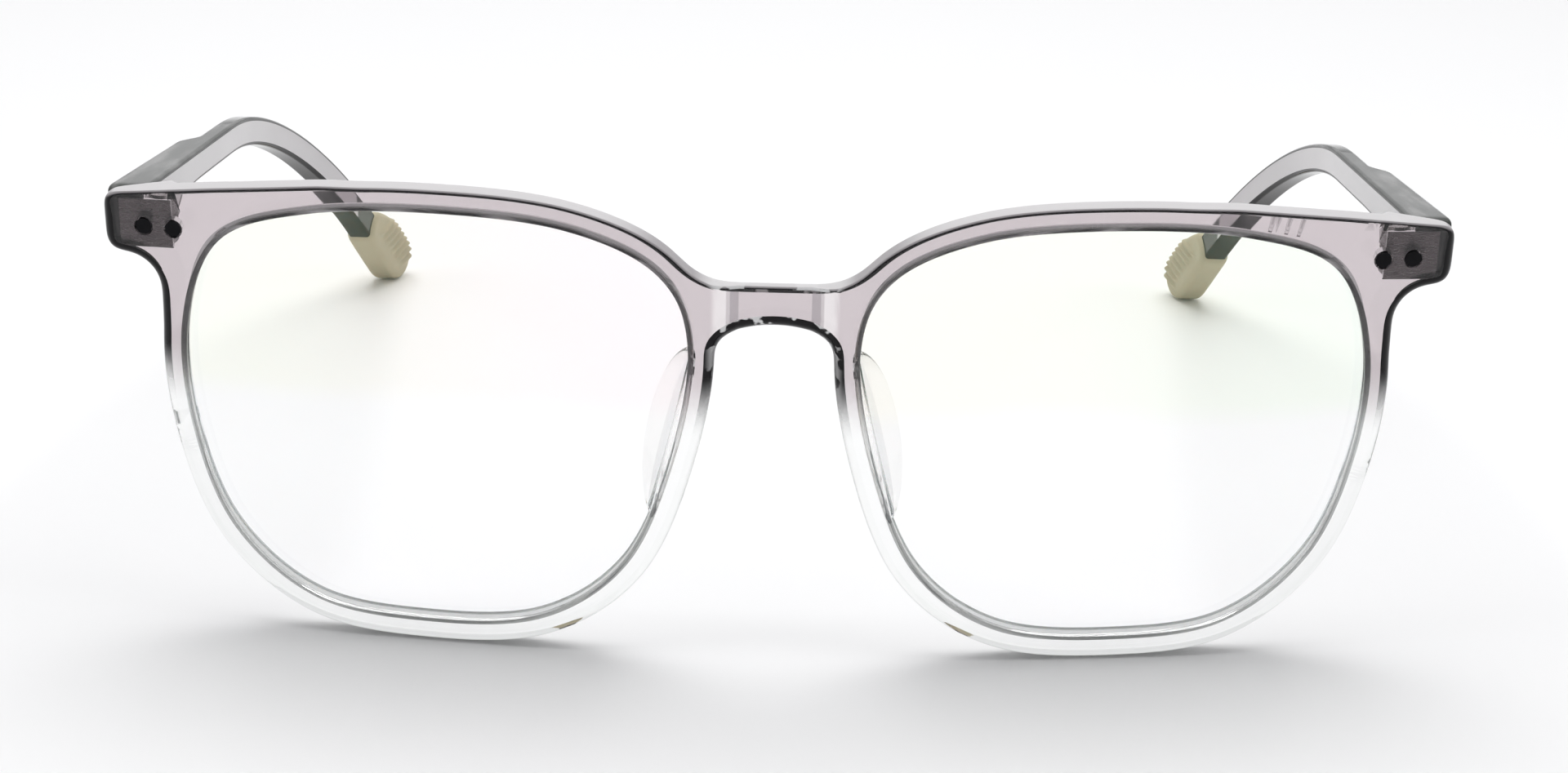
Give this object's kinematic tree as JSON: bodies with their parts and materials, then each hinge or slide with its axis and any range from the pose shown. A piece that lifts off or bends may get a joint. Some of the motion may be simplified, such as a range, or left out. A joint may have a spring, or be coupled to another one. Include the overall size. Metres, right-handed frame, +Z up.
{
  "type": "blue light glasses",
  "caption": "Clear-framed glasses with large rounded lenses, integral nose pads, folding temples on metal pin hinges and soft ribbed temple tips.",
  "frame": {"origin": "the middle of the open glasses, on the surface that the rims and the temple tips stand on", "axes": "+X across the face towards the side called right, +Y back along the temples, +Z up; the lenses face -Y"},
  "size_m": [0.1452, 0.1408, 0.0537],
  "materials": {
    "frame_plastic": "transparent, polished, mauve-grey at the top and clear at the bottom",
    "lens_plastic": "clear, with a faint yellow, green and pink coating",
    "temple_plastic": "transparent, polished, mauve-grey",
    "tip_rubber": "matt khaki, ribbed on the inner side",
    "hinge_metal": "bright nickel",
    "screw_metal": "satin steel",
    "pin_metal": "dark, burnished"
  },
  "bodies": {
    "front": {"front_frame": "frame_plastic", "lens_left": "lens_plastic", "lens_right": "lens_plastic", "front_hinge_left": "hinge_metal", "front_hinge_right": "hinge_metal", "outer_pin_left": "pin_metal", "outer_pin_right": "pin_metal", "inner_pin_left": "pin_metal", "inner_pin_right": "pin_metal", "hinge_screw_left": "screw_metal", "hinge_screw_right": "screw_metal"},
    "left_temple": {"temple_left": "temple_plastic", "temple_hinge_left": "hinge_metal", "temple_rivets_left": "pin_metal", "temple_tip_left": "tip_rubber"},
    "right_temple": {"temple_right": "temple_plastic", "temple_hinge_right": "hinge_metal", "temple_rivets_right": "pin_metal", "temple_tip_right": "tip_rubber"}
  },
  "joints": [
    {"name": "left_temple_fold", "type": "hinge", "parent": "front", "child": "left_temple", "pos_m": [-0.0664, -0.05787, 0.0469], "axis": [0, 0, -1], "range_deg": [0, 78]},
    {"name": "right_temple_fold", "type": "hinge", "parent": "front", "child": "right_temple", "pos_m": [0.0664, -0.05787, 0.0469], "axis": [0, 0, 1], "range_deg": [0, 85]}
  ]
}
